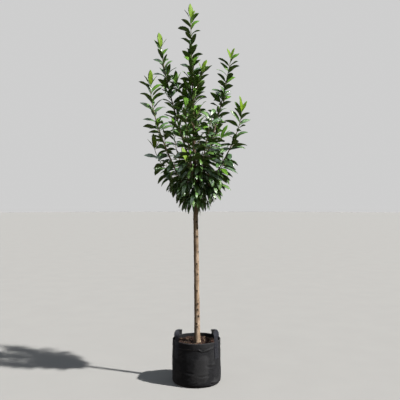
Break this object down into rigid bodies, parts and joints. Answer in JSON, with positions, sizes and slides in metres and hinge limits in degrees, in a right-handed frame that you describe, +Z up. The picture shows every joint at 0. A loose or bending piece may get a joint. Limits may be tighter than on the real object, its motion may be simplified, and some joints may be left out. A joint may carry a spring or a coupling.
{
  "type": "potted standard laurel",
  "caption": "Standard cherry laurel with a clear stem and an open upright leafy crown, growing in a soft black fabric bag with webbing handles",
  "frame": {"origin": "The centre of the bag's flat underside, on the ground", "axes": "+Z up along the stem, -Y towards the front, +X to the right seen from the front"},
  "size_m": [0.8016, 0.6679, 2.7592],
  "materials": {
    "pot_fabric": "matte",
    "strap_webbing": "matte",
    "bark_chips": "matte",
    "trunk_bark": "matte",
    "bough_bark": "matte",
    "foliage": "satin"
  },
  "bodies": {
    "root": {"pot": "pot_fabric", "soil": "bark_chips", "handle_left": "strap_webbing", "handle_right": "strap_webbing", "trunk": "trunk_bark", "bough_left": "bough_bark", "bough_low_left": "bough_bark", "bough_high_left": "bough_bark", "bough_high_right": "bough_bark", "bough_right": "bough_bark", "bough_front": "bough_bark", "bough_front_right": "bough_bark", "bough_back": "bough_bark", "bough_back_left": "bough_bark", "bough_back_right": "bough_bark", "left": "foliage", "low_left": "foliage", "high_left": "foliage", "high_right": "foliage", "right": "foliage", "front": "foliage", "front_right": "foliage", "back": "foliage", "back_left": "foliage", "back_right": "foliage", "upper_right": "foliage", "upper_left": "foliage", "low_front": "foliage", "mid_right": "foliage", "spur_1": "foliage", "spur_2": "foliage", "spur_3": "foliage", "spur_4": "foliage", "spur_5": "foliage", "spur_6": "foliage", "skirt_1": "foliage", "skirt_2": "foliage", "skirt_3": "foliage", "skirt_4": "foliage", "skirt_5": "foliage", "skirt_6": "foliage", "filler_1": "foliage", "filler_2": "foliage", "filler_3": "foliage", "filler_4": "foliage", "filler_5": "foliage", "leader": "foliage"}
  },
  "joints": []
}
